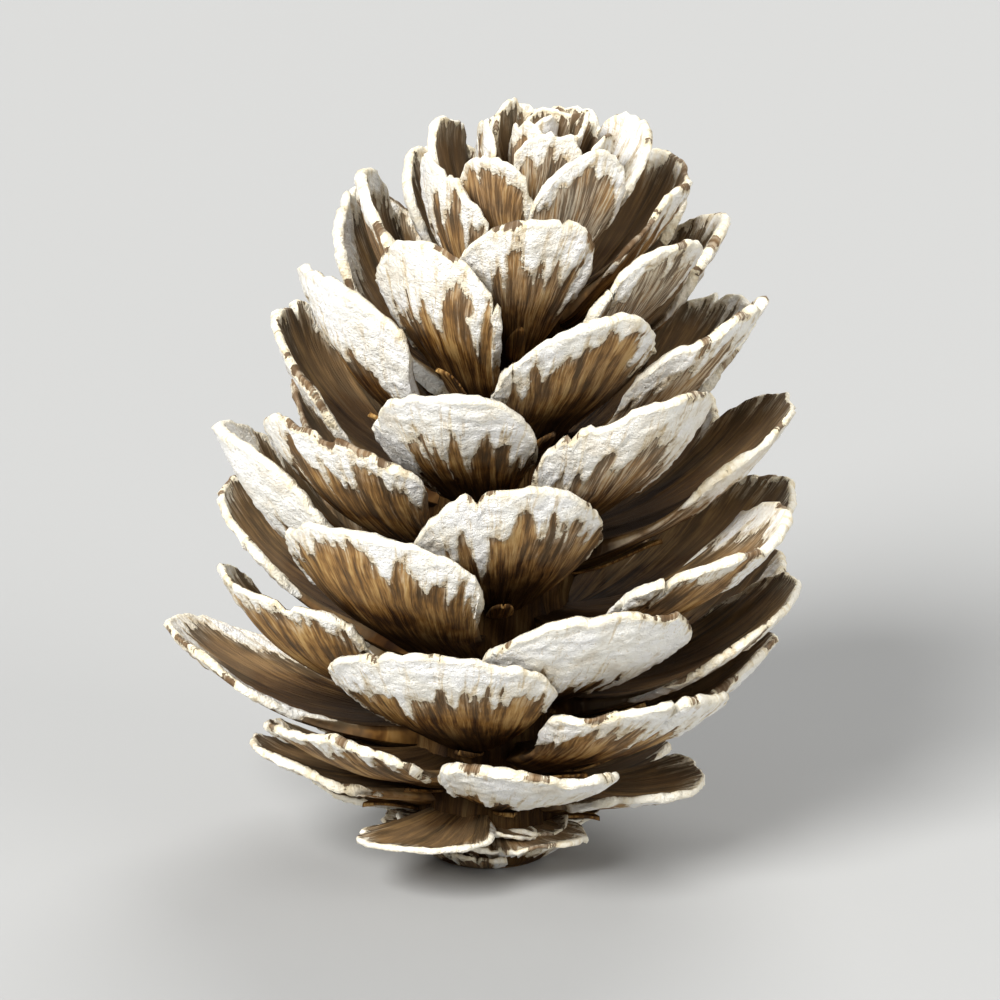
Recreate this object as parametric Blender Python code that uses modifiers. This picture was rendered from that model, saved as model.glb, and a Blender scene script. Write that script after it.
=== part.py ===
"""An open, spruce-type cone, about 44 mm tall and 37 mm wide, standing on the scar of its stalk.

The cone grew as one piece: a woody axis with thin, cupped, fan-shaped scales on it, each a golden angle
round from the one below. The scales at the foot spread wide, and those at the tip stay nearly closed.
Lengths are in metres and angles in degrees. Height t runs from 0 at the lowest scale to 1 at the topmost.
"""

import math
import random

import bmesh
import bpy

# Driving dimensions
SCALE_COUNT = 70
GOLDEN_ANGLE = 137.508
FIRST_AZIMUTH = 78.0
LOWEST_SCALE_Z = 0.0026
TOPMOST_SCALE_Z = 0.0372
CROWDING = 0.38
BLADE_THICKNESS = 0.0008
LEAN_AT_TIP = 0.0034
LEAN_HEIGHT = 0.045
SEED = 17

# How the scales change from foot to tip, as (t, value) pairs with straight runs between them
LENGTH = (
    (0.0, 0.0085),
    (0.06, 0.0128),
    (0.14, 0.0180),
    (0.24, 0.0207),
    (0.48, 0.0203),
    (0.72, 0.0150),
    (0.90, 0.0095),
    (1.0, 0.0065),
)
ROOT_OPENING = ((0.0, 101), (0.15, 104), (0.40, 98), (0.70, 78), (0.90, 46), (1.0, 12))
MARGIN_OPENING = ((0.0, 80), (0.12, 52), (0.30, 30), (0.70, 14), (0.90, 6), (1.0, -4))
FAN_HALF_ANGLE = ((0.0, 25), (0.20, 24), (0.50, 22.5), (0.75, 21), (1.0, 19))
CUP_RADIUS = ((0.0, 0.012), (0.5, 0.0085), (1.0, 0.0060))

# The outline of a scale: straight sides up to this part of its length, and a round margin beyond
SHOULDER = 0.72
ROOT_START = 0.0024
MARGIN_WAVE = 0.00028
COLUMNS = 6
ROWS = 3

# Spread of the seeded irregularities, as the most on either side
AZIMUTH_SPREAD = 4.0
OPENING_SPREAD = 7.5
TWIST_SPREAD = 9.0
LENGTH_SPREAD = 0.05
CUP_SPREAD = 0.2

# The woody axis, as (radius, height) pairs down its outer side from the tip to the stalk scar
AXIS_PROFILE = (
    (0.0, 0.0400),
    (0.0011, 0.0390),
    (0.0026, 0.0330),
    (0.0040, 0.0200),
    (0.0046, 0.0060),
    (0.0042, 0.0018),
    (0.0038, 0.0),
    (0.0, 0.0),
)
AXIS_SIDES = 12
MERGE_DISTANCE = 0.00001

WOOD_COLOUR = (0.33, 0.19, 0.085, 1.0)
WOOD_ROUGHNESS = 0.8
SMOOTH_ANGLE = 35.0


def along(pairs, t):
    """The value at t on a curve given as (t, value) pairs."""
    for (t0, value0), (t1, value1) in zip(pairs, pairs[1:]):
        if t <= t1:
            return value0 + (value1 - value0) * (t - t0) / (t1 - t0)
    return pairs[-1][1]


def clear_scene():
    for obj in list(bpy.data.objects):
        bpy.data.objects.remove(obj)


def new_collection(name):
    collection = bpy.data.collections.new(name)
    bpy.context.scene.collection.children.link(collection)
    return collection


def scale_shapes():
    """The sizes, place and pose of each scale, from the foot up."""
    draw = random.Random(SEED)
    shapes = []
    for index in range(SCALE_COUNT):
        t = index / (SCALE_COUNT - 1)
        rise = t - CROWDING * math.sin(2 * math.pi * t) / (2 * math.pi)
        azimuth = FIRST_AZIMUTH - index * GOLDEN_ANGLE
        opening_change = draw.uniform(-OPENING_SPREAD, OPENING_SPREAD)
        shapes.append(
            {
                "z": LOWEST_SCALE_Z + (TOPMOST_SCALE_Z - LOWEST_SCALE_Z) * rise,
                "azimuth": azimuth + draw.uniform(-AZIMUTH_SPREAD, AZIMUTH_SPREAD),
                "length": along(LENGTH, t) * (1 + draw.uniform(-LENGTH_SPREAD, LENGTH_SPREAD)),
                "root_opening": along(ROOT_OPENING, t) + opening_change / 2,
                "margin_opening": along(MARGIN_OPENING, t) + opening_change,
                "fan": along(FAN_HALF_ANGLE, t),
                "cup": along(CUP_RADIUS, t) * (1 + draw.uniform(-CUP_SPREAD, CUP_SPREAD)),
                "twist": draw.uniform(-TWIST_SPREAD, TWIST_SPREAD),
                "wave_phase": draw.uniform(0, 2 * math.pi),
            }
        )
    return shapes


def scale_point(shape, across, outward):
    """A point of a scale's middle surface. across runs from -1 to 1, and outward from 0 at the root to 1."""
    bow = math.pi / 2 * across
    reach = shape["length"] * (SHOULDER + (1 - SHOULDER) * math.cos(bow))
    distance = ROOT_START + (reach - ROOT_START) * outward
    turn = math.radians(shape["fan"]) * math.sin(bow)
    sideways = distance * math.sin(turn)
    forward = distance * math.cos(turn)

    root_angle = math.radians(shape["root_opening"])
    bend = (math.radians(shape["margin_opening"]) - root_angle) / shape["length"]
    angle = root_angle + bend * forward
    radius = (math.cos(root_angle) - math.cos(angle)) / bend
    height = (math.sin(angle) - math.sin(root_angle)) / bend

    wave = MARGIN_WAVE * outward**3 * math.sin(3 * bow + shape["wave_phase"])
    twist = math.tan(math.radians(shape["twist"])) * sideways * outward
    lift = sideways**2 / (2 * shape["cup"]) + twist + wave
    radius -= lift * math.cos(angle)
    height += lift * math.sin(angle)

    azimuth = math.radians(shape["azimuth"])
    x = radius * math.cos(azimuth) - sideways * math.sin(azimuth)
    y = radius * math.sin(azimuth) + sideways * math.cos(azimuth)
    return x, y, shape["z"] + height


def make_scale(name, shape, collection):
    """A grid bent into the scale's middle surface, split into triangles and thickened to both sides."""
    grid = bmesh.new()
    bmesh.ops.create_grid(grid, x_segments=COLUMNS, y_segments=ROWS, size=1)
    for vertex in grid.verts:
        vertex.co = scale_point(shape, vertex.co.x, (vertex.co.y + 1) / 2)
    bmesh.ops.triangulate(grid, faces=grid.faces[:])
    mesh = bpy.data.meshes.new(name)
    grid.to_mesh(mesh)
    grid.free()

    scale = bpy.data.objects.new(name, mesh)
    collection.objects.link(scale)
    thickness = scale.modifiers.new("Thickness", "SOLIDIFY")
    thickness.thickness = BLADE_THICKNESS
    thickness.offset = 0
    return scale


def make_axis(name, collection):
    """The turned axis, closed at its tip and at the flat scar under it."""
    mesh = bpy.data.meshes.new(name)
    points = [(radius, 0, height) for radius, height in AXIS_PROFILE]
    mesh.from_pydata(points, [(i, i + 1) for i in range(len(points) - 1)], [])
    axis = bpy.data.objects.new(name, mesh)
    collection.objects.link(axis)
    turned = axis.modifiers.new("Turned", "SCREW")
    turned.steps = AXIS_SIDES
    turned.render_steps = AXIS_SIDES
    turned.use_merge_vertices = True
    turned.merge_threshold = MERGE_DISTANCE
    return axis


def evaluated_mesh(obj):
    graph = bpy.context.evaluated_depsgraph_get()
    return bpy.data.meshes.new_from_object(obj.evaluated_get(graph))


def fuse(axis, scales):
    """One Boolean union of the axis with every scale, applied, with the scales then removed."""
    union = axis.modifiers.new("Fused scales", "BOOLEAN")
    union.operation = "UNION"
    union.operand_type = "COLLECTION"
    union.collection = scales
    union.solver = "MANIFOLD"
    mesh = evaluated_mesh(axis)
    axis.modifiers.clear()
    axis.data = mesh
    for scale in list(scales.objects):
        bpy.data.objects.remove(scale)
    bpy.data.collections.remove(scales)


def shells_of(body):
    """The faces of each separate shell."""
    left = set(body.faces)
    shells = []
    while left:
        shell = {left.pop()}
        edge_of_shell = list(shell)
        while edge_of_shell:
            face = edge_of_shell.pop()
            beside = {other for edge in face.edges for other in edge.link_faces} & left
            left -= beside
            shell |= beside
            edge_of_shell.extend(beside)
        shells.append(shell)
    return shells


def keep_outer_shell(mesh):
    """Fills any hollow that the fused scales close off, and drops any loose scrap."""
    body = bmesh.new()
    body.from_mesh(mesh)
    shells = shells_of(body)
    outer = max(shells, key=len)
    spare = [face for shell in shells if shell is not outer for face in shell]
    bmesh.ops.delete(body, geom=spare, context="FACES")
    body.to_mesh(mesh)
    body.free()


def lean(mesh):
    """The cone grew slightly bent: it leans more the higher up."""
    for vertex in mesh.vertices:
        vertex.co.x += LEAN_AT_TIP * (vertex.co.z / LEAN_HEIGHT) ** 2


def wood():
    material = bpy.data.materials.new("cone_wood")
    material.use_nodes = True
    shader = material.node_tree.nodes["Principled BSDF"]
    shader.inputs["Base Color"].default_value = WOOD_COLOUR
    shader.inputs["Roughness"].default_value = WOOD_ROUGHNESS
    shader.inputs["Metallic"].default_value = 0.0
    return material


def build():
    clear_scene()
    cone_parts = new_collection("bleached_cone")
    scales = new_collection("loose_scales")
    for index, shape in enumerate(scale_shapes()):
        make_scale(f"scale_{index:02d}", shape, scales)
    cone = make_axis("cone", cone_parts)
    fuse(cone, scales)
    keep_outer_shell(cone.data)
    lean(cone.data)
    cone.data.materials.clear()
    cone.data.materials.append(wood())
    cone.data.shade_smooth()
    cone.data.set_sharp_from_angle(angle=math.radians(SMOOTH_ANGLE))


build()
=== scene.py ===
"""The finished look of a small open cone that was brushed white along the margins of its scales.

The scales of the solid cone are made again as fine blades, with the crowded ones turned clear of each
other. Small barren scales at the foot, bracts and the axis join them, and one material covers everything.
Lengths are in metres and angles in degrees, except where a comment says otherwise.
"""

import math
import random
from types import SimpleNamespace

import bpy
import numpy as np
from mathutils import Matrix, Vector


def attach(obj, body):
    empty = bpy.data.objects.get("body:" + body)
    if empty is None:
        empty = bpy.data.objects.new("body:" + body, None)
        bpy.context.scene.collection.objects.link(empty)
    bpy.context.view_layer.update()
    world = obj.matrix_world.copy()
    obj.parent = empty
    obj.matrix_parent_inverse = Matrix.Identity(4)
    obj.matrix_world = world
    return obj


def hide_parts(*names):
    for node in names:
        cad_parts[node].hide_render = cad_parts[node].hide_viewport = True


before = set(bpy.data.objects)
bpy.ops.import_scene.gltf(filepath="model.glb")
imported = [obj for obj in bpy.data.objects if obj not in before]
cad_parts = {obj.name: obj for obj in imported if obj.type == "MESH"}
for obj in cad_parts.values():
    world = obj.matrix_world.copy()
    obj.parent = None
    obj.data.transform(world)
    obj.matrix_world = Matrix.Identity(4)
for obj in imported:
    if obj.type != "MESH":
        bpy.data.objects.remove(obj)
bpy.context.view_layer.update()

MM = 0.001

# Driving dimensions of the cone, the same as in its solid
SCALE_COUNT = 70
GOLDEN_ANGLE = 137.508
FIRST_AZIMUTH = 78.0
LOWEST_SCALE_Z = 0.0026
TOPMOST_SCALE_Z = 0.0372
CROWDING = 0.38
LEAN_AT_TIP = 0.0034
LEAN_HEIGHT = 0.045
SEED = 17

# How the scales change from foot to tip, as (t, value) pairs with straight runs between them. Height t runs
# from 0 at the lowest scale to 1 at the topmost
LENGTH = (
    (0.0, 0.0085),
    (0.06, 0.0128),
    (0.14, 0.0180),
    (0.24, 0.0207),
    (0.48, 0.0203),
    (0.72, 0.0150),
    (0.90, 0.0095),
    (1.0, 0.0065),
)
ROOT_OPENING = ((0.0, 101), (0.15, 104), (0.40, 98), (0.70, 78), (0.90, 46), (1.0, 12))
MARGIN_OPENING = ((0.0, 80), (0.12, 52), (0.30, 30), (0.70, 14), (0.90, 6), (1.0, -4))
FAN_HALF_ANGLE = ((0.0, 25), (0.20, 24), (0.50, 22.5), (0.75, 21), (1.0, 19))
CUP_RADIUS = ((0.0, 0.012), (0.5, 0.0085), (1.0, 0.0060))

# The outline of a scale: straight sides up to this part of its length, and a round margin beyond
SHOULDER = 0.72
ROOT_START = 0.0024
MARGIN_WAVE = 0.00028

# Spread of the seeded irregularities, as the most on either side
AZIMUTH_SPREAD = 4.0
OPENING_SPREAD = 7.5
TWIST_SPREAD = 9.0
LENGTH_SPREAD = 0.05
CUP_SPREAD = 0.2

# Crowded scales have pressed each other aside: how many degrees more each of these is closed up and twisted
# than in the cone's solid, so that their margins stay clear of each other
PRESSED_ASIDE = {
    3: (-2, -4),
    5: (-2, 4),
    6: (2, 6),
    7: (0, -5),
    8: (3, -2),
    10: (6, -3),
    12: (4, -7),
    16: (6, -5),
    26: (0, 5),
    29: (2, 5),
    39: (0, 6),
    42: (1, 5),
    44: (0, 4),
    45: (0, 6),
    47: (3, 5),
    48: (3, 3),
    54: (0, 4),
    57: (5, 7),
}

# The small barren scales at the foot: a collar that hugs the stalk's end, and above it some that spread. The
# middle surface of a collar scale would start below the scar, but its blade only starts at the wall
COLLAR_COUNT = 12
COLLAR_LOWEST_Z = -0.00115
COLLAR_HIGHEST_Z = -0.00090
COLLAR_LENGTH = 0.0064
COLLAR_START = 0.0036
COLLAR_OPENINGS = (72, 50)
FOOT_COUNT = 14
FOOT_LOWEST_Z = 0.0018
FOOT_HIGHEST_Z = 0.0027
FOOT_LENGTH = 0.0070
FOOT_OPENINGS = (97, 73)
FOOT_SEED = 8
BARREN_AZIMUTH_SPREAD = 8
BARREN_LENGTH_SPREAD = 0.06
BARREN_OPENING_SPREAD = 5
BARREN_TWIST_SPREAD = 7
BARREN_FAN = (21, 26)
BARREN_CUP = (0.005, 0.008)

# The woody axis, as (height, radius) pairs from the scar of the stalk to the tip, and its roughness
AXIS_PROFILE = (
    (0.0, 0.0033),
    (0.0005, 0.0038),
    (0.0018, 0.0041),
    (0.006, 0.0044),
    (0.020, 0.0038),
    (0.033, 0.0024),
    (0.039, 0.0009),
)
AXIS_MIDDLE = 0.02 * MM
WALL_FROM = 0.2 * MM
BARK_HEIGHT = 0.16 * MM
BARK_BUMPS = 9
PIT_DEPTH = 0.22 * MM
PITTED_WITHIN = (0.9, 0.7)
SCAR_HEART = 0.35

# The axis takes the colours that a scale has so many millimetres from its margin. The wall's is so deep that
# it gets the full painted shade of the roots
WALL_SHADE_EDGE = 14.0
HEART_EDGE = 8.0
SCAR_EDGE = 3.0

# The swollen root under each scale: its half width in radians round the axis, and how many millimetres below
# the scale it begins and has died away
ROOT_HEIGHT = 0.0004
ROOT_HALF_WIDTH = 0.36
ROOT_BEGINS = (-1.0, 0.8)
ROOT_ENDS = (3.6, 0.8)

# Fineness of the meshes
CELL_ACROSS = 0.00021
CELL_OUTWARD = 0.00036
FEWEST_COLUMNS, MOST_COLUMNS = 24, 74
FEWEST_ROWS, MOST_ROWS = 18, 60
WIDEST_AT = 0.87
ARC_TO_WIDTH = 1.15
ROW_CROWDING = 0.5
BRACT_COLUMNS = 13
BRACT_ROWS = 19
AXIS_SIDES = 120
AXIS_RINGS = 150
SCAR_RINGS = 14
TIERS = 7
MAP_GAP = 0.02

# Everything is drawn in towards the axis by this factor, so that ripples and crust stay within the cone's
# width
GIRTH = 0.993

# A blade is thick at the root, where it swells over these shares of its length, and thin at the margin, which
# lies inside the plain outline
ROOT_THICKNESS = 0.00125
MARGIN_THICKNESS = 0.00032
MARGIN_THICKNESS_CHANGE = 0.45
SIDE_THINNING = 0.35
MARGIN_INSET = 0.00045
RIM_ROUNDING = 0.00010
ROOT_SWELLING = 0.0009
SWELLING_OVER = (0.46, 0.20)
SWELLING_SIDE_FALL = 0.6

# Relief on a blade in millimetres: slow and fast ripples, ribs along the grain, and the fray of its margin
SLOW_RIPPLE, FAST_RIPPLE = 0.30, 0.09
RIB, FINE_RIB = 0.034, 0.024
INNER_RIB_SHARE = 0.6
SLOW_FRAY, FAST_FRAY = 0.15, 0.12

# How many bumps ripples, fray and hollows have for each radian of the outline's bow, and how readily a margin
# is hollowed, from -1, nowhere, to 1, all along it
SLOW_RIPPLE_BUMPS, FAST_RIPPLE_BUMPS = 1.8, 5.5
SLOW_FRAY_BUMPS, FAST_FRAY_BUMPS = 1.9, 11
HOLLOW_BUMPS = 1.4
HOLLOWING = 0.3

# Cuts in a margin: how many a scale may have, and the range of their places and half widths, in radians of
# the outline's bow, and of their depths in millimetres
CRACKS = {"counts": (0, 0, 0, 1, 1, 2), "places": (-1.2, 1.2), "widths": (0.035, 0.06), "depths": (0.3, 1.3)}
CHIPS = {"counts": (0, 1, 1, 2), "places": (-1.3, 1.3), "widths": (0.10, 0.30), "depths": (0.15, 0.5)}
CHIP_FLOOR = 0.55

# The print that a seed's wing left on the inner face: its middle and half size, as shares of the fan and of
# the length
PRINT_DEPTH = 0.07 * MM
PRINT_ACROSS = (0.36, 0.33)
PRINT_OUTWARD = (0.50, 0.40)
PRINT_SOFTNESS = 0.82

# The bracts: their reach as shares of the scale's length, and their half width as a share of its fan. Their
# lift off the scale, the curl of their ends and the droop of their sides are in millimetres
BRACT_FROM = 0.06
BRACT_TO = 0.36
BRACT_WIDTH = 0.20
BRACT_END_WIDTH = 0.01
BRACT_TAPER = 2.2
BRACT_WANDER = 0.03
BRACT_THICKNESS = 0.00012
BRACT_LIFT, BRACT_CURL, BRACT_DROOP = 0.12, 0.45, 0.15

# What each scale may draw: the depth of its coat in millimetres, the strength of its thin film, how far its
# shoulders fall back, how easily its rim wears bare, and the depth of the paint inside
COAT_DEPTHS = ((0.4, 1.2), (1.6, 3.4), (2.2, 4.2), (4.5, 8.0))
FILMS = (0.0, 0.0, 0.15, 0.35, 0.7)
MOST_ROUNDNESS = 0.07
WORN_FROM = (1.5, 0.75, 0.55, 0.42)
INNER_COAT_DEPTHS = (0.15, 0.4, 0.8, 1.5, 2.8)
UNEVENNESS = (0.1, 0.6)
NOISE_OFFSETS = 200
FULL_COAT_LENGTH = 0.016
STURDY_LENGTH = 0.015
LEAST_STURDINESS = 0.5
DETAIL_SEED = 404

# The scales that the photograph shows, by their number from the foot up: how deep the coat of paint reaches
# from the margin in millimetres, which side took more of it (-1 left to 1 right), how strong the thin film
# beyond it is, and how much of the length the shoulders fall back, which makes the margin rounder
FRONT_SCALES = {
    1: (0.6, 0.0, 0.1, 0.03),
    4: (3.0, 0.3, 0.0, 0.0),
    6: (2.6, 0.5, 0.2, 0.02),
    7: (1.0, 0.0, 0.2, 0.03),
    9: (5.5, 0.1, 0.0, 0.03),
    12: (1.0, -0.6, 0.1, 0.03),
    14: (2.8, 0.0, 0.1, 0.0),
    17: (3.4, -0.3, 0.0, 0.0),
    20: (0.8, 0.3, 0.0, 0.02),
    22: (7.0, 0.2, 0.0, 0.07),
    25: (1.4, 0.4, 0.0, 0.02),
    27: (3.4, 0.8, 0.1, 0.04),
    30: (3.3, -0.8, 0.1, 0.09),
    32: (3.6, 0.4, 0.7, 0.02),
    33: (3.0, -0.3, 0.0, 0.0),
    35: (3.9, 0.1, 0.8, 0.06),
    38: (4.0, -0.5, 0.0, 0.1),
    40: (2.4, 0.3, 0.8, 0.05),
    43: (2.0, -0.5, 0.1, 0.05),
    46: (3.4, -0.4, 0.0, 0.03),
    48: (1.6, 0.2, 1.0, 0.05),
    51: (3.0, -0.3, 0.2, 0.06),
    54: (4.2, -0.9, 0.1, 0.06),
    56: (2.0, 0.4, 0.8, 0.05),
    64: (3.0, 0.1, 0.8, 0.04),
    67: (2.4, -0.8, 0.4, 0.04),
}

# The patterns of the coat, as how many bumps each has for a millimetre across the grain and along it
FINGERS = (1.3, 0.12)
FINE_FINGERS = (2.7, 0.22)
PATCHES = (0.32, 0.34)
DASHES = (2.9, 0.65)
RUBS = (0.55, 0.5)
WEAR = (0.55, 0.9)
FINE_WEAR = (3.1, 2.2)
LUMPS = (2.4, 2.4)

# How strong they are, in millimetres where nothing else is said
FINGER_DEPTH = 4.2
FINGER_GAP = 2.4
FINGER_TAPER = 1.4
FINE_FINGER_DEPTH = 0.9
PATCH_DEPTH, INNER_PATCH_DEPTH = 0.8, 0.45
RUB_DEPTH = 3.0
HELD_DEPTH, HELD_WIDTH = 0.8, 0.6
SIDE_CHANGE = 0.85
WEAR_STEEPNESS = 2.2
WEAR_WIDTH = 0.3
FINE_WEAR_SHARE = 0.3
PAINT_THICKNESS = 0.17 * MM
INNER_COAT_SHARE = 0.7

# The coat's field where there is no paint at all
BARE = -6.0

# How the wash attribute tells the faces of a blade apart
OUTER_FACE = 0.0
RIM = 0.5
INNER_FACE = 1.0

# Colours: the ramps run from low to high wood tone, or over the blots in the paint
OUTER_WOOD = (
    (0.27, (0.031, 0.011, 0.003)),
    (0.42, (0.112, 0.046, 0.010)),
    (0.56, (0.305, 0.148, 0.036)),
    (0.74, (0.550, 0.335, 0.118)),
)
INNER_WOOD = (
    (0.30, (0.018, 0.008, 0.002)),
    (0.50, (0.080, 0.038, 0.011)),
    (0.72, (0.250, 0.142, 0.050)),
)
PAINT = (
    (0.34, (0.79, 0.735, 0.63)),
    (0.46, (0.89, 0.865, 0.79)),
    (0.60, (0.905, 0.89, 0.855)),
)
PRINTED_WOOD = (0.30, 0.17, 0.075, 1.0)
WEATHERED_WOOD = (0.34, 0.25, 0.14, 1.0)
# Nearly black: the darker wood of the roots, together with painted shade between the scales
ROOT_WOOD_AND_SHADE = (0.018, 0.008, 0.002, 1.0)
RUBBED_WOOD = (0.115, 0.068, 0.034, 1.0)
FILM_COLOUR = (0.62, 0.55, 0.42, 1.0)
WORN_PAINT = ((0.47, 0.34, 0.17, 1.0), (0.80, 0.71, 0.53, 1.0))
RIM_PAINT = (0.90, 0.80, 0.56, 1.0)
TABLE = (
    (0.3, (0.334, 0.334, 0.328)),
    (0.7, (0.352, 0.352, 0.346)),
)

# Where the colours change, as the two ends of each change: between the faces, in millimetres from the margin,
# or in millimetres within the coat
INSIDE = (0.45, 0.8)
OUTSIDE = (0.8, 0.45)
WEATHERED_ZONE = (6.4, 5.4)
# Over this zone the wood is painted darker towards the root, as shade between the scales
ROOT_SHADE_ZONE = (4.0, 11.0)
FILM_ZONE = (9.0, 4.0)
RUBBED_RIM = (0.55, 0.1)
PAINTED_RIM = (0.42, 0.02)
COAT_EDGE = (-0.04, 0.09)
THICK_COAT = (0.1, 1.4)
NEAR_COAT = (-1.4, 0.0)
LINES_SHOW = (5.0, 0.6)

# How far apart two scales lie in the patterns of the grain
SCALE_SHIFT = 7.31

WOOD_ROUGHNESS = 0.66
PAINT_ROUGHNESS = 0.9
SPECULAR_LEVEL = 0.12
BUMP_STRENGTH = 0.9
BUMP_DISTANCE = 0.00022

# The setting: a pale table, soft light and the camera at the photograph's angle. Each lamp has a name, the
# direction that it shines from, the angle that it spreads over and its strength
LAMPS = (
    ("key", (-0.38, -0.62, 0.56), 26.0, 5.4),
    ("fill", (0.55, -0.45, 0.30), 38.0, 1.2),
    ("back", (0.15, 0.55, 0.58), 36.0, 2.0),
)
ROOM_LIGHT = 0.36
CAMERA_ELEVATION = 18.0
CAMERA_DISTANCE = 0.60
CAMERA_LENS = 385.0
CAMERA_CLIP = 0.01
AIM_HEIGHT = 0.0208
AIM_X = 0.0006
FLOOR_SIZE = 6.0

# A table of random numbers for the noise, and how far each finer layer of noise is shifted on it
NOISE_SIZE = 256
NOISE_TABLE = np.random.default_rng(DETAIL_SEED).uniform(-1, 1, (NOISE_SIZE, NOISE_SIZE))
LAYER_SHIFT = (31, 17)

# All the points of a blade's grid but the ring round its rim
CORE = (slice(1, -1), slice(1, -1))


def along(pairs, t):
    """The value at t on a curve given as (t, value) pairs."""
    return float(np.interp(t, [pair[0] for pair in pairs], [pair[1] for pair in pairs]))


def smooth(zero_at, one_at, values):
    """Goes smoothly from 0 at the first limit to 1 at the second, whichever of them is the greater."""
    part = np.clip((values - zero_at) / (one_at - zero_at), 0, 1)
    return part * part * (3 - 2 * part)


def noise(x, y):
    """Smooth noise between -1 and 1 with one bump for each unit of x and y.

    Where a whole number is added to x or y in a call, it only picks another stretch of the same noise."""
    x_floor = np.floor(x).astype(int)
    y_floor = np.floor(y).astype(int)
    x_part = x - x_floor
    y_part = y - y_floor
    x_part = x_part * x_part * (3 - 2 * x_part)
    y_part = y_part * y_part * (3 - 2 * y_part)
    x0 = x_floor % NOISE_SIZE
    y0 = y_floor % NOISE_SIZE
    x1 = (x_floor + 1) % NOISE_SIZE
    y1 = (y_floor + 1) % NOISE_SIZE
    low = NOISE_TABLE[x0, y0] * (1 - x_part) + NOISE_TABLE[x1, y0] * x_part
    high = NOISE_TABLE[x0, y1] * (1 - x_part) + NOISE_TABLE[x1, y1] * x_part
    return low * (1 - y_part) + high * y_part


def rough_noise(x, y, layers=3):
    """Noise with finer bumps added on it, each layer half as strong as the one before."""
    total = 0
    for layer in range(layers):
        finer = 2**layer
        finer_x = x * finer + LAYER_SHIFT[0] * layer
        finer_y = y * finer + LAYER_SHIFT[1] * layer
        total = total + noise(finer_x, finer_y) / finer
    return total


def on_grain(bumps, line, outward, shift=(0, 0)):
    """Where to read noise that has so many bumps for a millimetre across the grain and along it."""
    return line * bumps[0] + shift[0], outward * bumps[1] + shift[1]


def triples(first, second, third):
    """Three grids of values, or grids and single numbers, as one grid of triples."""
    return np.stack(np.broadcast_arrays(first, second, third), axis=-1)


def unit(vectors):
    return vectors / np.linalg.norm(vectors, axis=-1, keepdims=True)


def scale_shapes():
    """The sizes, place and pose of each scale, from the foot up, as in the cone's solid."""
    draw = random.Random(SEED)
    shapes = []
    for index in range(SCALE_COUNT):
        t = index / (SCALE_COUNT - 1)
        rise = t - CROWDING * math.sin(2 * math.pi * t) / (2 * math.pi)
        azimuth = FIRST_AZIMUTH - index * GOLDEN_ANGLE
        opening_change = draw.uniform(-OPENING_SPREAD, OPENING_SPREAD)
        shapes.append(
            {
                "z": LOWEST_SCALE_Z + (TOPMOST_SCALE_Z - LOWEST_SCALE_Z) * rise,
                "azimuth": azimuth + draw.uniform(-AZIMUTH_SPREAD, AZIMUTH_SPREAD),
                "length": along(LENGTH, t) * (1 + draw.uniform(-LENGTH_SPREAD, LENGTH_SPREAD)),
                "root_opening": along(ROOT_OPENING, t) + opening_change / 2,
                "margin_opening": along(MARGIN_OPENING, t) + opening_change,
                "fan": along(FAN_HALF_ANGLE, t),
                "cup": along(CUP_RADIUS, t) * (1 + draw.uniform(-CUP_SPREAD, CUP_SPREAD)),
                "twist": draw.uniform(-TWIST_SPREAD, TWIST_SPREAD),
                "wave_phase": draw.uniform(0, 2 * math.pi),
                "index": index,
                "start": ROOT_START,
                "swelling": ROOT_SWELLING,
            }
        )
    return shapes


def press_aside(shapes):
    """Moves the crowded scales apart."""
    for index, (closed, twisted) in PRESSED_ASIDE.items():
        shapes[index]["root_opening"] -= closed / 2
        shapes[index]["margin_opening"] -= closed
        shapes[index]["twist"] += twisted


def barren_scale(draw, number, z, length, start, openings):
    """One of the small scales at the foot, which hold no seeds."""
    root_opening, margin_opening = openings
    turned = draw.uniform(-BARREN_AZIMUTH_SPREAD, BARREN_AZIMUTH_SPREAD)
    return {
        "z": z,
        "azimuth": FIRST_AZIMUTH + (number + 1) * GOLDEN_ANGLE + turned,
        "length": length * (1 + draw.uniform(-BARREN_LENGTH_SPREAD, BARREN_LENGTH_SPREAD)),
        "root_opening": root_opening,
        "margin_opening": margin_opening + draw.uniform(-BARREN_OPENING_SPREAD, BARREN_OPENING_SPREAD),
        "fan": draw.uniform(*BARREN_FAN),
        "cup": draw.uniform(*BARREN_CUP),
        "twist": draw.uniform(-BARREN_TWIST_SPREAD, BARREN_TWIST_SPREAD),
        "wave_phase": draw.uniform(0, 2 * math.pi),
        "index": SCALE_COUNT + number,
        "start": start,
        "swelling": 0.0,
    }


def foot_shapes():
    """The barren scales, from the scar up."""
    draw = random.Random(FOOT_SEED)
    shapes = []
    for z in np.linspace(COLLAR_LOWEST_Z, COLLAR_HIGHEST_Z, COLLAR_COUNT):
        shapes.append(barren_scale(draw, len(shapes), z, COLLAR_LENGTH, COLLAR_START, COLLAR_OPENINGS))
    for z in np.linspace(FOOT_LOWEST_Z, FOOT_HIGHEST_Z, FOOT_COUNT):
        shapes.append(barren_scale(draw, len(shapes), z, FOOT_LENGTH, ROOT_START, FOOT_OPENINGS))
    return shapes


def drawn_cuts(draw, counts, places, widths, depths):
    """The place, half width and depth of each cut in a margin."""
    return [
        (draw.uniform(*places), draw.uniform(*widths), draw.uniform(*depths) * MM)
        for _ in range(draw.choice(counts))
    ]


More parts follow.
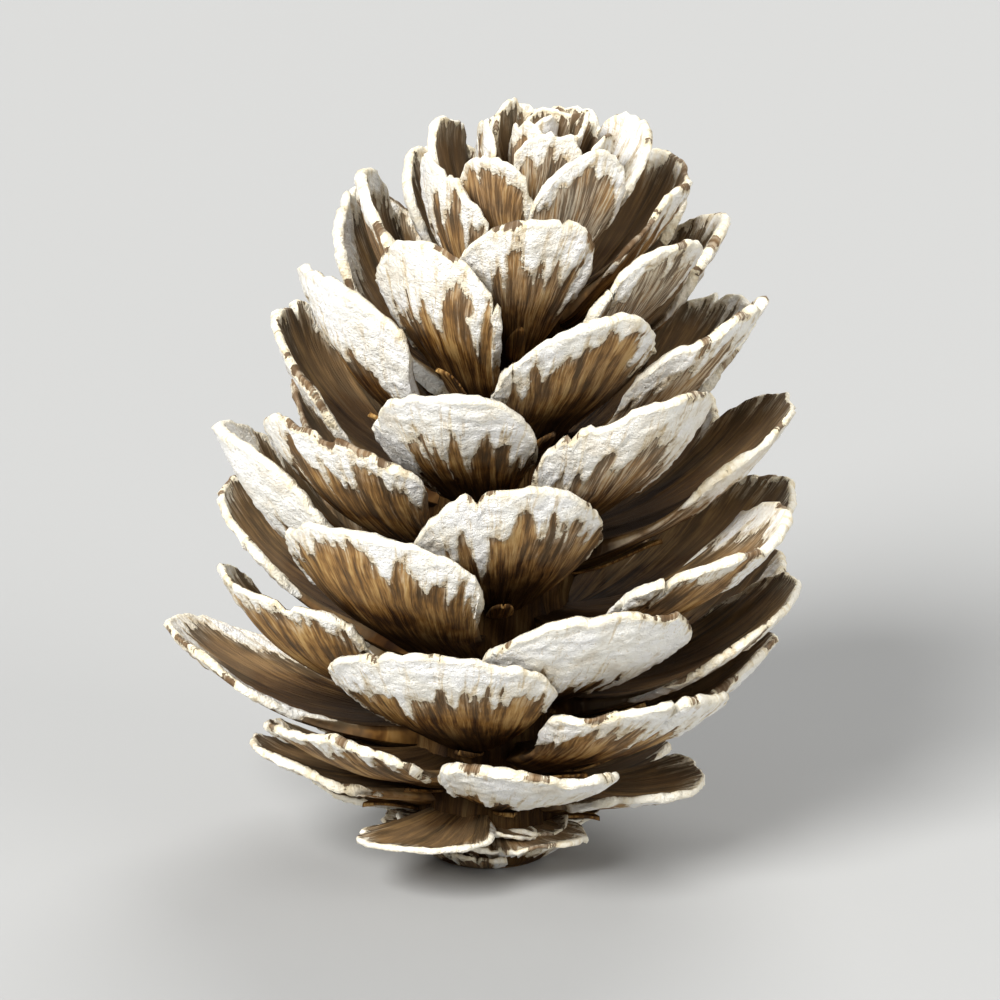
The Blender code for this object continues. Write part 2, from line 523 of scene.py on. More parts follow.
def add_finish(shapes, seed):
    """Draws what only the fine surface has: the fray of each margin and how much paint each scale took."""
    draw = random.Random(seed)
    for shape in shapes:
        shape["cracks"] = drawn_cuts(draw, **CRACKS)
        shape["chips"] = drawn_cuts(draw, **CHIPS)
        least, most = draw.choice(COAT_DEPTHS)
        drawn = (
            draw.uniform(least, most),
            draw.uniform(-1, 1),
            draw.choice(FILMS),
            draw.uniform(0, MOST_ROUNDNESS),
        )
        depth, side, film, roundness = FRONT_SCALES.get(shape["index"], drawn)
        size = min(1, shape["length"] / FULL_COAT_LENGTH)
        shape["paint_depth"] = depth * size
        shape["paint_side"] = side
        shape["film"] = film
        shape["roundness"] = roundness
        shape["rub"] = draw.uniform(0, 1)
        shape["worn_from"] = draw.choice(WORN_FROM)
        shape["inner_paint"] = draw.choice(INNER_COAT_DEPTHS) * size**2
        shape["unevenness"] = draw.uniform(*UNEVENNESS)
        shape["offset"] = draw.uniform(0, NOISE_OFFSETS)
        shape["sturdiness"] = min(1.0, max(LEAST_STURDINESS, shape["length"] / STURDY_LENGTH))
        shape["tone"] = draw.random()


def plain_reach(shape, bow):
    """How far the scale would reach along each ray of its fan with a whole margin."""
    return shape["length"] * (SHOULDER + (1 - SHOULDER) * np.cos(bow))


def frayed_reach(shape, bow):
    """How far it does reach, with rounder shoulders and a frayed, hollowed, cracked and chipped margin."""
    still = np.zeros_like(bow)
    fall = shape["roundness"] * shape["length"] * smooth(0.3, 1.0, np.abs(np.sin(bow)))
    slow_fray = SLOW_FRAY * noise(bow * SLOW_FRAY_BUMPS + shape["offset"], still)
    fast_fray = FAST_FRAY * rough_noise(bow * FAST_FRAY_BUMPS + shape["offset"], still + 5)
    hollow = np.clip(HOLLOWING + noise(bow * HOLLOW_BUMPS + shape["offset"], still + 2), 0, 1)
    hollows = shape["unevenness"] * shape["sturdiness"] * hollow
    reach = plain_reach(shape, bow) - fall - MARGIN_INSET + (slow_fray + fast_fray - hollows) * MM
    for centre, width, depth in shape["cracks"]:
        reach = reach - depth * np.clip(1 - np.abs(bow - centre) / width, 0, 1)
    for centre, width, depth in shape["chips"]:
        reach = reach - depth * smooth(1, CHIP_FLOOR, np.abs(bow - centre) / width)
    return reach


def middle_surface(shape, across, outward):
    """The scale's middle surface on a grid, with what the finish needs to know of each point.

    That is its turn from the scale's middle line, its distance along the ray of the fan that it lies on, the
    margin's distance on that ray, and its share of the way out to the plain outline."""
    bow = math.pi / 2 * across
    reach = frayed_reach(shape, bow)
    distance = shape["start"] + (reach - shape["start"]) * outward
    turn = math.radians(shape["fan"]) * np.sin(bow)
    sideways = distance * np.sin(turn)
    forward = distance * np.cos(turn)

    root_angle = math.radians(shape["root_opening"])
    bend = (math.radians(shape["margin_opening"]) - root_angle) / shape["length"]
    angle = root_angle + bend * forward
    radius = (math.cos(root_angle) - np.cos(angle)) / bend
    height = (np.sin(angle) - math.sin(root_angle)) / bend

    share = (distance - shape["start"]) / (plain_reach(shape, bow) - shape["start"])
    wave = MARGIN_WAVE * share**3 * np.sin(3 * bow + shape["wave_phase"])
    slow_ripple = SLOW_RIPPLE * noise(bow * SLOW_RIPPLE_BUMPS + shape["offset"], share * 2)
    fast_ripple = FAST_RIPPLE * noise(bow * FAST_RIPPLE_BUMPS, share * 3 + shape["offset"])
    ripple = MM * share**3 * (slow_ripple + fast_ripple)
    twist = math.tan(math.radians(shape["twist"])) * sideways * share
    lift = sideways**2 / (2 * shape["cup"]) + twist + wave + ripple
    radius = radius - lift * np.cos(angle)
    height = height + lift * np.sin(angle)

    azimuth = math.radians(shape["azimuth"])
    x = radius * math.cos(azimuth) - sideways * math.sin(azimuth)
    y = radius * math.sin(azimuth) + sideways * math.cos(azimuth)
    return triples(x, y, shape["z"] + height), turn, distance, reach, share


def line_of(shape, turn):
    """Which line of the grain a point lies on, numbered so that lines are 1 mm apart at the margin."""
    return turn * shape["length"] / MM + shape["offset"]


def rim_limit(shape, line, from_margin):
    """The most that the paint can be near the rim, where handling wore it thin or bare in places."""
    wear = noise(*on_grain(WEAR, line, from_margin, (11, 40)))
    wear = wear + FINE_WEAR_SHARE * noise(*on_grain(FINE_WEAR, line, from_margin, (5, 44)))
    return WEAR_STEEPNESS * (shape["worn_from"] - wear) + from_margin / WEAR_WIDTH


def outer_coat(shape, turn, line, from_margin, fingers, patches):
    """The coat on the outer face, deeper on one side, in dashes and rubbed off in places."""
    side = shape["paint_side"] * turn / math.radians(shape["fan"])
    depth = shape["paint_depth"] * (1 + SIDE_CHANGE * side)
    fingers = fingers * min(1, 0.35 + shape["paint_depth"] / 4)
    dashes = noise(*on_grain(DASHES, line, from_margin, (80, 0)))
    rubbing = np.clip(noise(*on_grain(RUBS, line, from_margin, (33, 20))) - 0.2, 0, 1)
    held = HELD_DEPTH * np.exp(-from_margin / HELD_WIDTH)
    rubbed = RUB_DEPTH * shape["rub"] * rubbing
    return depth + fingers + PATCH_DEPTH * patches + dashes + held - rubbed - from_margin


def inner_coat(shape, line, from_margin, fingers, patches):
    """The coat on the inner face, where less paint came."""
    depth = shape["inner_paint"] * (0.8 + 1.1 * noise(line * 0.30, np.full_like(line, 3)))
    streaks = fingers * (0.1 + 0.4 * min(1, shape["inner_paint"]))
    return depth + streaks + INNER_PATCH_DEPTH * patches - from_margin


def coats(shape, turn, distance, reach):
    """How far inside the painted patch each point of the outer and of the inner face lies, in millimetres.

    Below zero it is bare. The patch follows the margin and ends in fingers along the grain."""
    line = line_of(shape, turn)
    from_margin = (reach - distance) / MM
    finger = noise(*on_grain(FINGERS, line, from_margin))
    fingers = FINGER_DEPTH * np.clip(finger, 0, 1) ** FINGER_TAPER
    fingers = fingers - FINGER_GAP * np.clip(-finger, 0, 1) ** FINGER_TAPER
    fingers = fingers + FINE_FINGER_DEPTH * noise(*on_grain(FINE_FINGERS, line, from_margin, (0, 9)))
    patches = rough_noise(*on_grain(PATCHES, line, from_margin, (50, 0)))
    limit = rim_limit(shape, line, from_margin)
    outer = outer_coat(shape, turn, line, from_margin, fingers, patches)
    inner = inner_coat(shape, line, from_margin, fingers, patches)
    return np.minimum(outer, limit), np.minimum(inner, limit)


def wing_print(shape, turn, share):
    """The two long shallow prints that the seeds' wings left side by side on the inner face."""
    place = np.abs(turn) / math.radians(shape["fan"])
    long_way = (share - PRINT_OUTWARD[0]) / PRINT_OUTWARD[1]
    wide_way = (place - PRINT_ACROSS[0]) / PRINT_ACROSS[1]
    return smooth(1.0, PRINT_SOFTNESS, np.sqrt(long_way**2 + wide_way**2))


def swelling_of(shape, distance):
    """How much thicker the scale is on its outer face over its root."""
    return shape["swelling"] * smooth(*SWELLING_OVER, distance / shape["length"])


def grid_faces(rows, columns):
    """Quads between neighbours of a grid of points kept row by row."""
    row, column = np.meshgrid(np.arange(rows - 1), np.arange(columns - 1), indexing="ij")
    corner = (row * columns + column).ravel()
    return np.stack([corner, corner + 1, corner + columns + 1, corner + columns], axis=1)


def ringed(values):
    """The values of a grid's lines, with the first and last written twice, for the ring round the rim."""
    return np.concatenate([values[:1], values, values[-1:]])


def out_to_ring(values):
    """Values at the core of a blade's grid, written once more for the ring round them."""
    return np.pad(values, ((1, 1), (1, 1), (0, 0)), mode="edge")


def faces_of_blade(points, outer_offset, inner_offset):
    """The outer and inner grids of a closed blade round a sheet of points. They share the ring of the rim."""
    slope_across = np.gradient(points[CORE], axis=1)
    slope_outward = np.gradient(points[CORE], axis=0)
    normal = unit(np.cross(slope_across, slope_outward))
    push_across = np.zeros_like(points)
    push_across[:, 0] = -1
    push_across[:, -1] = 1
    push_outward = np.zeros_like(points)
    push_outward[0] = -1
    push_outward[-1] = 1
    push = out_to_ring(unit(slope_across)) * push_across + out_to_ring(unit(slope_outward)) * push_outward
    outer = points + RIM_ROUNDING * push
    inner = outer.copy()
    outer[CORE] = points[CORE] + normal * outer_offset[..., None]
    inner[CORE] = points[CORE] - normal * inner_offset[..., None]
    return outer, inner


def coat_relief(shape, line, distance, field):
    """The thickness of the lumpy crust of paint."""
    lumps = 0.5 + 0.5 * rough_noise(*on_grain(LUMPS, line, distance / MM, (7, 0)), 2)
    return PAINT_THICKNESS * shape["sturdiness"] * smooth(-0.1, 0.4, field) * (0.25 + 0.95 * lumps)


def scale_grid(shape):
    """The grid of a scale, finer where the scale is larger, with its rows closer together at the margin."""
    half_width = shape["length"] * WIDEST_AT * math.sin(math.radians(shape["fan"]))
    columns = round(2 * half_width * ARC_TO_WIDTH / CELL_ACROSS)
    rows = round((shape["length"] - shape["start"]) / CELL_OUTWARD)
    across = np.linspace(-1, 1, int(np.clip(columns, FEWEST_COLUMNS, MOST_COLUMNS)) + 1)
    outward = np.linspace(0, 1, int(np.clip(rows, FEWEST_ROWS, MOST_ROWS)) + 1)
    outward = outward * (1 + ROW_CROWDING - ROW_CROWDING * outward)
    return np.meshgrid(ringed(across), ringed(outward))


def scale_blade(shape):
    """One scale as a closed blade, with what the material needs to know of each of its points."""
    points, turn, distance, reach, share = middle_surface(shape, *scale_grid(shape))
    outer_field, inner_field = coats(shape, turn, distance, reach)

    inside = share[CORE]
    line = line_of(shape, turn[CORE])
    aside = np.abs(turn[CORE]) / math.radians(shape["fan"])
    margin_thickness = MARGIN_THICKNESS * (1 + MARGIN_THICKNESS_CHANGE * noise(line * 0.5 + 60, inside * 2))
    thickness = ROOT_THICKNESS + (margin_thickness - ROOT_THICKNESS) * smooth(0, 1.0, inside)
    thickness = thickness * (1 - SIDE_THINNING * aside**2 * smooth(1, 0.3, inside)) * shape["sturdiness"]
    swelling = swelling_of(shape, distance[CORE]) * (1 - SWELLING_SIDE_FALL * aside**2)
    ribs = MM * (RIB * noise(line * 1.4, inside * 1.5) + FINE_RIB * noise(line * 2.9, inside * 2))
    outer_crust = coat_relief(shape, line, distance[CORE], outer_field[CORE])
    inner_crust = coat_relief(shape, line, distance[CORE], inner_field[CORE])
    prints = np.zeros(turn.shape)
    prints[CORE] = wing_print(shape, turn[CORE], inside)
    outer_relief = ribs * smooth(0, 0.3, inside) + outer_crust + swelling
    inner_relief = INNER_RIB_SHARE * ribs + INNER_COAT_SHARE * inner_crust - PRINT_DEPTH * prints[CORE]
    outer, inner = faces_of_blade(points, thickness / 2 + outer_relief, thickness / 2 + inner_relief)

    face = np.full(turn.shape, RIM)
    face[CORE] = OUTER_FACE
    edge = (reach - distance) / MM
    return SimpleNamespace(
        outer=outer,
        inner=inner,
        grain=triples(line_of(shape, turn), distance / MM, shape["index"] + shape["tone"]),
        outer_wash=triples(outer_field, edge, face),
        inner_wash=triples(inner_field, edge, INNER_FACE),
        film=shape["film"],
        prints=prints,
    )


def bract_blade(shape):
    """The small dry bract that lies under the scale's root: a thin tongue with a pointed end."""
    lines = ringed(np.linspace(-1, 1, BRACT_COLUMNS))
    across, outward = np.meshgrid(lines, ringed(np.linspace(0, 1, BRACT_ROWS)))
    width = BRACT_WIDTH * (1 - outward**BRACT_TAPER) + BRACT_END_WIDTH
    wander = BRACT_WANDER * noise(outward * 2.5 + shape["offset"], np.zeros_like(outward))
    share = BRACT_FROM + (BRACT_TO * (0.85 + 0.3 * shape["tone"]) - BRACT_FROM) * outward
    points, turn, distance = middle_surface(shape, across * width + wander, share)[:3]

    lift = 0.5 * ROOT_THICKNESS + swelling_of(shape, distance[CORE])
    curl = BRACT_CURL * outward[CORE] ** 2 * (0.4 + shape["tone"])
    lift = lift + MM * (BRACT_LIFT + curl - BRACT_DROOP * across[CORE] ** 2)
    outer, inner = faces_of_blade(points, lift + BRACT_THICKNESS, -lift)
    # The rim is lifted as much as the points beside it
    outward_unit = out_to_ring((outer[CORE] - points[CORE]) / (lift + BRACT_THICKNESS)[..., None])
    rim = np.ones(turn.shape, bool)
    rim[CORE] = False
    outer[rim] = (points + outward_unit * out_to_ring(lift[..., None]))[rim]
    inner[rim] = outer[rim]

    wash = triples(np.full(turn.shape, BARE), 6.0, 0.3)
    return SimpleNamespace(
        outer=outer,
        inner=inner,
        grain=triples(line_of(shape, turn) * 2, distance / MM, shape["index"] + 0.5),
        outer_wash=wash,
        inner_wash=wash,
        film=0.0,
        prints=np.zeros(turn.shape),
    )


def lean(points):
    """The cone grew slightly bent: it leans more the higher up."""
    points[:, 0] += LEAN_AT_TIP * (points[:, 2] / LEAN_HEIGHT) ** 2


class Patchwork:
    """Gathers the points, faces, map places and values of one piece.

    A point's grain is its line, its distance along the scale in millimetres and a number of the scale's own.
    Its wash is the coat's field, the distance from the margin in millimetres and the face that it is on."""

    def __init__(self, cells):
        self.side = math.ceil(math.sqrt(cells))
        self.cells_used = 0
        self.count = 0
        self.points = []
        self.faces = []
        self.places = []
        self.grain = []
        self.wash = []
        self.film_or_print = []

    def place_in_cell(self, rows, columns):
        """Map places for a grid that fills the next cell of the piece's square map."""
        row, column = divmod(self.cells_used, self.side)
        self.cells_used += 1
        u = column + MAP_GAP + (1 - 2 * MAP_GAP) * np.linspace(0, 1, columns)
        v = row + MAP_GAP + (1 - 2 * MAP_GAP) * np.linspace(0, 1, rows)
        return np.stack(np.meshgrid(u, v), axis=-1).reshape(-1, 2) / self.side

    def add(self, points, faces, places, grain, wash, film_or_print):
        self.points.append(points)
        self.faces.append(self.count + faces)
        self.places.append(places)
        self.grain.append(grain)
        self.wash.append(wash)
        self.film_or_print.append(film_or_print)
        self.count += len(points)

    def add_blade(self, blade):
        """A closed blade: its outer grid, and its inner grid without the ring that the two share."""
        rows, columns = blade.outer.shape[:2]
        quads = grid_faces(rows, columns)
        turned = quads[:, ::-1]
        number = np.arange(rows * columns)
        core = number.reshape(rows, columns)[CORE].ravel()
        inner_number = number.copy()
        inner_number[core] = rows * columns + np.arange(len(core))
        outer_places = self.place_in_cell(rows, columns)[quads]
        inner_places = self.place_in_cell(rows, columns)[turned]

        def joined(outer_values, inner_values):
            return np.concatenate([outer_values.reshape(-1, 3), inner_values.reshape(-1, 3)[core]])

        self.add(
            points=joined(blade.outer, blade.inner),
            faces=np.concatenate([quads, inner_number[turned]]),
            places=np.concatenate([outer_places, inner_places]),
            grain=joined(blade.grain, blade.grain),
            wash=joined(blade.outer_wash, blade.inner_wash),
            film_or_print=np.concatenate([np.full(rows * columns, blade.film), blade.prints.ravel()[core]]),
        )

    def build(self, name):
        points = np.concatenate(self.points)
        points[:, :2] *= GIRTH
        lean(points)
        faces = np.concatenate(self.faces)
        places = np.concatenate(self.places)
        mesh = bpy.data.meshes.new(name)
        mesh.vertices.add(len(points))
        mesh.vertices.foreach_set("co", points.astype(np.float32).ravel())
        mesh.loops.add(faces.size)
        mesh.loops.foreach_set("vertex_index", faces.astype(np.int32).ravel())
        mesh.polygons.add(len(faces))
        mesh.polygons.foreach_set("loop_start", np.arange(0, faces.size, 4, dtype=np.int32))
        mesh.update(calc_edges=True)
        mesh.uv_layers.new(name="OFBake").data.foreach_set("uv", places.astype(np.float32).ravel())
        for title, values in (("grain", self.grain), ("wash", self.wash)):
            layer = mesh.attributes.new(title, "FLOAT_VECTOR", "POINT")
            layer.data.foreach_set("vector", np.concatenate(values).astype(np.float32).ravel())
        layer = mesh.attributes.new("film_or_print", "FLOAT", "POINT")
        layer.data.foreach_set("value", np.concatenate(self.film_or_print).astype(np.float32))
        mesh.shade_smooth()
        piece = bpy.data.objects.new(name, mesh)
        bpy.context.scene.collection.objects.link(piece)
        return piece


def axis_grid(shapes):
    """The turn, radius and height of a grid round the axis, from the scar's middle out and up to the tip.

    It also says which of its points are on the wall and not on the scar."""
    heights = [pair[0] for pair in AXIS_PROFILE]
    radii = [pair[1] for pair in AXIS_PROFILE]
    wall_z = np.linspace(0, heights[-1], AXIS_RINGS)
    scar_radius = np.linspace(AXIS_MIDDLE, radii[0], SCAR_RINGS, endpoint=False)
    ring_z = np.concatenate([np.zeros(SCAR_RINGS), wall_z, [heights[-1]]])
    ring_radius = np.concatenate([scar_radius, np.interp(wall_z, heights, radii), [AXIS_MIDDLE]])
    turn, z = np.meshgrid(np.linspace(0, 2 * math.pi, AXIS_SIDES + 1), ring_z)
    radius = np.broadcast_to(ring_radius[:, None], z.shape).copy()

    is_wall = z > WALL_FROM
    x_bumps = BARK_BUMPS * np.cos(turn) + 20
    y_bumps = BARK_BUMPS * np.sin(turn) + 20
    bark = rough_noise(x_bumps + z / MM * 0.8, y_bumps - z / MM * 0.5)
    radius += np.where(is_wall, BARK_HEIGHT * bark, 0)
    for shape in shapes:
        aside = (turn - math.radians(shape["azimuth"]) + math.pi) % (2 * math.pi) - math.pi
        below = (shape["z"] - z) / MM
        root = np.exp(-((aside / ROOT_HALF_WIDTH) ** 2))
        root = root * smooth(*ROOT_BEGINS, below) * smooth(*ROOT_ENDS, below)
        radius += np.where(is_wall, ROOT_HEIGHT * root, 0)

    # The scar is pitted within its rim, which stays flat
    pits = 0.6 + 0.4 * rough_noise(radius / MM * 3, turn * 3)
    pits = PIT_DEPTH * smooth(*PITTED_WITHIN, radius / radii[0]) * pits
    z = z + np.where(z == 0, pits, 0)
    return turn, radius, z, is_wall


def add_axis(patchwork, shapes):
    """The axis as one closed wall, rough with the roots of scales, and the scar under it."""
    turn, radius, z, is_wall = axis_grid(shapes)
    rows, columns = z.shape
    quads = grid_faces(rows, columns)
    number = np.arange(rows * columns).reshape(rows, columns)
    number[:, -1] = number[:, 0]
    # The wall lies deep in shade and is painted dark as shade. The torn wood of the scar is paler, round a
    # darker heart
    is_heart = radius / AXIS_PROFILE[0][1] < SCAR_HEART
    edge = np.where(is_wall, WALL_SHADE_EDGE, np.where(is_heart, HEART_EDGE, SCAR_EDGE))
    patchwork.add(
        points=triples(radius * np.cos(turn), radius * np.sin(turn), z).reshape(-1, 3),
        faces=number.ravel()[quads],
        places=patchwork.place_in_cell(rows, columns)[quads],
        grain=triples(turn * 4, z / MM * 0.3, 0.3).reshape(-1, 3),
        wash=triples(BARE, edge, OUTER_FACE).reshape(-1, 3),
        film_or_print=np.zeros(rows * columns),
    )


class Nodes:
    """Adds nodes to a new material, each fed by numbers or by other nodes' outputs."""

    def __init__(self, name):
        self.material = bpy.data.materials.new(name)
        self.material.use_nodes = True
        self.tree = self.material.node_tree
        self.shader = self.tree.nodes["Principled BSDF"]

    def add(self, kind, values=(), **settings):
        new = self.tree.nodes.new(kind)
        for name, value in settings.items():
            setattr(new, name, value)
        for name, value in dict(values).items():
            if isinstance(value, bpy.types.NodeSocket):
                self.tree.links.new(value, new.inputs[name])
            else:
                new.inputs[name].default_value = value
        return new

    def attribute(self, name):
        return self.add("ShaderNodeAttribute", attribute_name=name).outputs

    def parts(self, vector):
        return self.add("ShaderNodeSeparateXYZ", {0: vector}).outputs

    def place(self):
        return self.add("ShaderNodeTexCoord").outputs["Object"]

    def math(self, operation, first, second=0.0, clamp=False):
        made = self.add("ShaderNodeMath", {0: first, 1: second}, operation=operation, use_clamp=clamp)
        return made.outputs[0]

    def times(self, first, second):
        return self.math("MULTIPLY", first, second)

    def total(self, *values):
        total = values[0]
        for value in values[1:]:
            total = self.math("ADD", total, value)
        return total

    def spread(self, value, amount):
        """A pattern between 0 and 1 as one that swings this much in all, round zero."""
        return self.times(self.math("SUBTRACT", value, 0.5), amount)

    def rise(self, value, low, high, to_low=0.0, to_high=1.0):
        inputs = {"Value": value, "From Min": low, "From Max": high, "To Min": to_low, "To Max": to_high}
        return self.add("ShaderNodeMapRange", inputs, interpolation_type="SMOOTHSTEP").outputs["Result"]

    def mix(self, share, first, second):
        made = self.add("ShaderNodeMix", {0: share, 6: first, 7: second}, data_type="RGBA")
        return made.outputs[2]

    def noise(self, place, detail, roughness, scale=1.0):
        inputs = {"Vector": place, "Scale": scale, "Detail": detail, "Roughness": roughness}
        return self.add("ShaderNodeTexNoise", inputs).outputs["Fac"]

    def ramp(self, value, stops):
        made = self.add("ShaderNodeValToRGB", {"Fac": value})
        ramp = made.color_ramp
        while len(ramp.elements) < len(stops):
            ramp.elements.new(1.0)
        for element, (place, colour) in zip(ramp.elements, stops):
            element.position = place
            element.color = (*colour, 1.0)
        return made.outputs["Color"]

    def feed(self, name, value):
        """Links a value to the shader."""
        self.tree.links.new(value, self.shader.inputs[name])


def surface_patterns(nodes):
    """What the material knows of each point of a blade, and the patterns on it."""
    line, distance, scale_number = nodes.parts(nodes.attribute("grain")["Vector"])
    field, edge, face = nodes.parts(nodes.attribute("wash")["Vector"])
    place = nodes.place()
    scale_shift = nodes.times(scale_number, SCALE_SHIFT)
    warp = nodes.noise(place, detail=2.0, roughness=0.5, scale=260.0)
    warped_line = nodes.total(line, nodes.times(warp, 0.6))

    def streaks(across, along, detail, roughness):
        """Streaks along the grain, with so many for a millimetre across it and along it."""
        x = nodes.times(warped_line, across)
        y = nodes.times(distance, along)
        on_scale = nodes.add("ShaderNodeCombineXYZ", {"X": x, "Y": y, "Z": scale_shift}).outputs[0]
        return nodes.noise(on_scale, detail, roughness)

    return SimpleNamespace(
        field=field,
        edge=edge,
        face=face,
        film_or_print=nodes.attribute("film_or_print")["Fac"],
        broad=streaks(across=0.7, along=0.12, detail=2.0, roughness=0.6),
        lines=streaks(across=2.1, along=0.20, detail=4.0, roughness=0.65),
        fibres=streaks(across=7.0, along=0.55, detail=3.0, roughness=0.6),
        blots=nodes.noise(place, detail=3.0, roughness=0.6, scale=380.0),
        crumbs=nodes.noise(place, detail=4.0, roughness=0.65, scale=1700.0),
        crust=nodes.noise(place, detail=4.0, roughness=0.7, scale=3600.0),
    )


def bare_wood(nodes, at):
    """Wood with lines along it, from dark brown at the root to tan near the margin and darker inside, with
    painted shade near the root.
    """
    tone = nodes.total(
        nodes.spread(at.lines, 1.15),
        nodes.spread(at.fibres, 0.55),
        nodes.spread(at.broad, 0.6),
        nodes.spread(at.blots, 0.7),
        0.5,
    )
    # Inside, where the seeds' wings lay, the wood is paler
    inner_wood = nodes.mix(nodes.times(at.film_or_print, 0.30), nodes.ramp(tone, INNER_WOOD), PRINTED_WOOD)
    wood = nodes.mix(nodes.rise(at.face, *INSIDE), nodes.ramp(tone, OUTER_WOOD), inner_wood)
    # The part that the scale below never covered has weathered a little greyer
    zone_edge = nodes.total(at.edge, nodes.spread(at.blots, 3.0))
    weathered = nodes.mix(0.20, wood, WEATHERED_WOOD)
    wood = nodes.mix(nodes.rise(zone_edge, *WEATHERED_ZONE), wood, weathered)
    # Deep towards the root and on the axis the wood is darkened nearly to black: partly its own darker wood,
    # partly painted shade where the scales shade each other
    wood = nodes.mix(nodes.rise(at.edge, *ROOT_SHADE_ZONE), wood, nodes.mix(0.86, wood, ROOT_WOOD_AND_SHADE))
    # Where the rim was rubbed bare, handling has left it dark and dull
    return nodes.mix(nodes.rise(at.edge, *RUBBED_RIM, 0.0, 0.75), wood, RUBBED_WOOD)


def washed_wood(nodes, at, field):
    """Wood with a thin wash on the tops of its lines, near the coat and where a scale took a film of it."""
    near_coat = nodes.rise(field, *NEAR_COAT, 0.0, 0.42)
    outside = nodes.times(at.film_or_print, nodes.rise(at.face, *OUTSIDE))
    amount = nodes.math("MAXIMUM", near_coat, nodes.times(outside, nodes.rise(at.edge, *FILM_ZONE)))
    tops = nodes.rise(nodes.total(nodes.spread(at.fibres, 0.8), nodes.spread(at.lines, 0.6)), -0.06, 0.10)
    film = nodes.times(amount, nodes.total(nodes.times(tops, 0.8), 0.12))
    return nodes.mix(film, bare_wood(nodes, at), FILM_COLOUR)


def crusty_paint(nodes, at, field):
    """White paint, darker where it is worn: in pits, over low lines and where the coat is thin."""
    worn_paint = nodes.mix(nodes.rise(at.crumbs, 0.38, 0.62), *WORN_PAINT)
    low_lines = nodes.times(nodes.rise(at.lines, 0.48, 0.38), nodes.rise(field, *LINES_SHOW))
    pits = nodes.times(nodes.rise(at.crust, 0.42, 0.35), 0.55)
    thin = nodes.math("SUBTRACT", 1.0, nodes.rise(field, *THICK_COAT))
    worn = nodes.math("MAXIMUM", nodes.math("MAXIMUM", low_lines, pits), thin, clamp=True)
    paint = nodes.mix(nodes.times(worn, 0.85), nodes.ramp(at.blots, PAINT), worn_paint)
    # On the sharp rim the coat is thin, so the wood warms it
    rim_edge = nodes.total(at.edge, nodes.spread(at.crumbs, 0.6))
    return nodes.mix(nodes.rise(rim_edge, *PAINTED_RIM, 0.0, 0.42), paint, RIM_PAINT)


def relief(nodes, at, coat):
    """The height of the lines, half filled where they are painted, and of the crust on them."""
    height = nodes.total(nodes.times(at.lines, 0.9), nodes.times(at.fibres, 0.45))
    height = nodes.times(height, nodes.rise(coat, 0.0, 1.0, 1.0, 0.45))
    crust = nodes.total(nodes.times(at.crust, 1.1), at.crumbs)
    return nodes.total(height, nodes.times(coat, 0.35), nodes.times(crust, coat))


def painted_wood(name):
    """Brown wood with lines that fan out from the root, under a crusty white coat that ends in streaks."""
    nodes = Nodes(name)
    at = surface_patterns(nodes)
    # The coat ends where its field, made ragged by the lines and fibres, crosses zero
    field = nodes.total(
        at.field,
        nodes.spread(at.lines, 3.4),
        nodes.spread(at.crumbs, 1.9),
        nodes.spread(at.fibres, 0.9),
    )
    coat = nodes.rise(field, *COAT_EDGE)
    nodes.feed("Base Color", nodes.mix(coat, washed_wood(nodes, at, field), crusty_paint(nodes, at, field)))
    nodes.feed("Roughness", nodes.rise(coat, 0.0, 1.0, WOOD_ROUGHNESS, PAINT_ROUGHNESS))
    nodes.shader.inputs["Specular IOR Level"].default_value = SPECULAR_LEVEL
    bump = {"Strength": BUMP_STRENGTH, "Distance": BUMP_DISTANCE, "Height": relief(nodes, at, coat)}
    nodes.feed("Normal", nodes.add("ShaderNodeBump", bump).outputs["Normal"])
    return nodes.material


def tiers_of(shapes):
    """The scales in equal tiers from the foot up."""
    bounds = np.linspace(0, len(shapes), TIERS + 1).round().astype(int)
    return [shapes[low:high] for low, high in zip(bounds, bounds[1:])]


def piece_of_blades(name, blades):
    patchwork = Patchwork(2 * len(blades))
    for blade in blades:
        patchwork.add_blade(blade)
    return patchwork.build(name)


def axis_piece(name, shapes):
    patchwork = Patchwork(1)
    add_axis(patchwork, shapes)
    return patchwork.build(name)


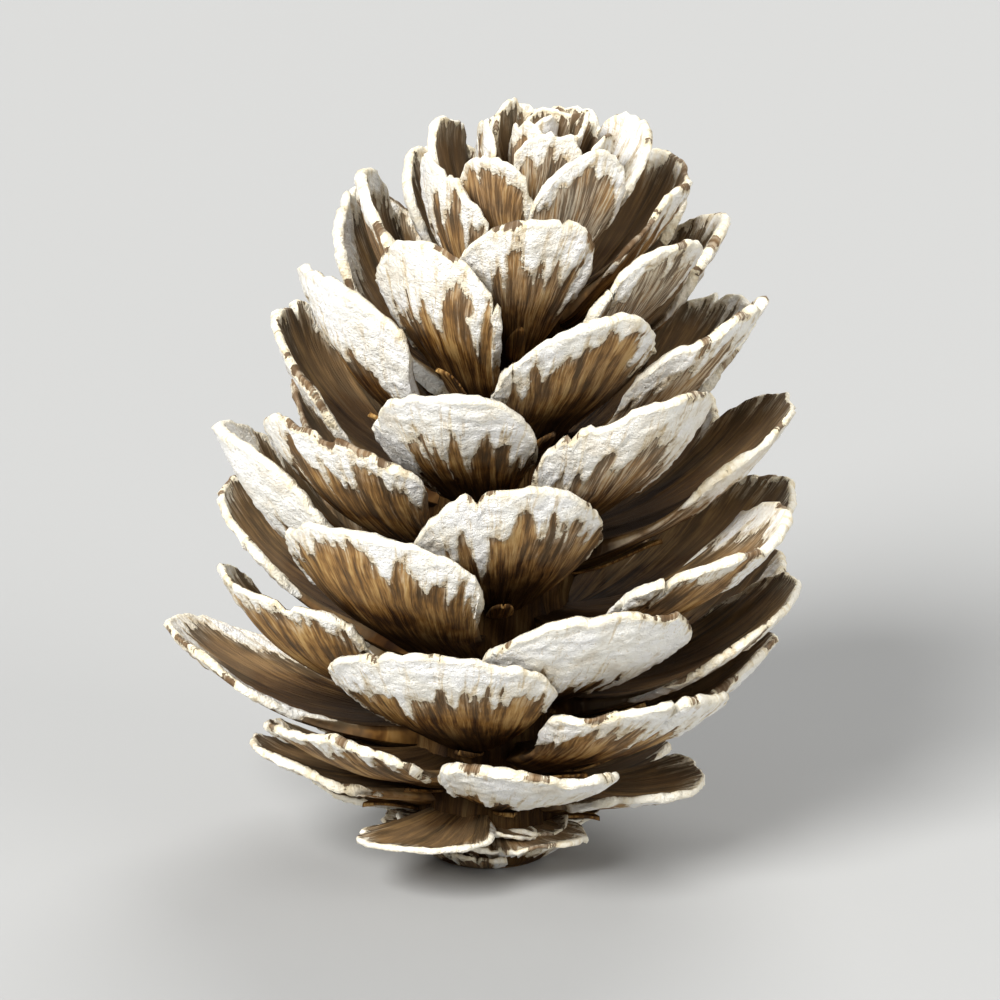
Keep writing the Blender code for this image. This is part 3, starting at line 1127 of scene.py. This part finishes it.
def build_cone():
    shapes = scale_shapes()
    press_aside(shapes)
    add_finish(shapes, DETAIL_SEED)
    feet = foot_shapes()
    add_finish(feet, FOOT_SEED)
    pieces = [
        piece_of_blades(f"scales_tier_{number}", [scale_blade(shape) for shape in tier])
        for number, tier in enumerate(tiers_of(shapes), start=1)
    ]
    pieces.append(piece_of_blades("foot_scales", [scale_blade(shape) for shape in feet]))
    pieces.append(piece_of_blades("bracts", [bract_blade(shape) for shape in shapes]))
    pieces.append(axis_piece("cone_axis", shapes))
    material = painted_wood("painted_cone_wood")
    for piece in pieces:
        piece.data.materials.append(material)
        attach(piece, "root")
        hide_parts("cone")


def table_finish(name):
    """An even pale grey that varies a little from place to place."""
    nodes = Nodes(name)
    shade = nodes.noise(nodes.place(), detail=2.0, roughness=0.5, scale=3.0)
    nodes.feed("Base Color", nodes.ramp(shade, TABLE))
    nodes.shader.inputs["Roughness"].default_value = 0.9
    return nodes.material


def add_floor():
    bpy.ops.mesh.primitive_plane_add(size=FLOOR_SIZE)
    floor = bpy.context.object
    floor.name = "white_table"
    floor.data.materials.append(table_finish("white_table"))


def add_lamp(name, direction, spread, strength):
    """Even light from far off in a direction, as soft as from a lamp that spreads over this angle."""
    light = bpy.data.lights.new(name, "SUN")
    light.angle = math.radians(spread)
    light.energy = strength
    lamp = bpy.data.objects.new(name, light)
    lamp.location = direction
    lamp.rotation_euler = Vector(direction).to_track_quat("Z", "Y").to_euler()
    bpy.context.scene.collection.objects.link(lamp)


def add_lights():
    for lamp in LAMPS:
        add_lamp(*lamp)
    world = bpy.data.worlds.new("studio")
    world.use_nodes = True
    background = world.node_tree.nodes["Background"]
    background.inputs["Color"].default_value = (1.0, 1.0, 1.0, 1.0)
    background.inputs["Strength"].default_value = ROOM_LIGHT
    bpy.context.scene.world = world
    bpy.context.scene.view_settings.view_transform = "Standard"


def add_camera():
    camera = bpy.data.objects.new("camera", bpy.data.cameras.new("camera"))
    camera.data.lens = CAMERA_LENS
    camera.data.clip_start = CAMERA_CLIP
    elevation = math.radians(CAMERA_ELEVATION)
    aim = Vector((AIM_X, 0, AIM_HEIGHT))
    away = Vector((0, -math.cos(elevation), math.sin(elevation)))
    camera.location = aim + away * CAMERA_DISTANCE
    camera.rotation_euler = (-away).to_track_quat("-Z", "Y").to_euler()
    bpy.context.scene.collection.objects.link(camera)
    bpy.context.scene.camera = camera


build_cone()
add_floor()
add_lights()
add_camera()
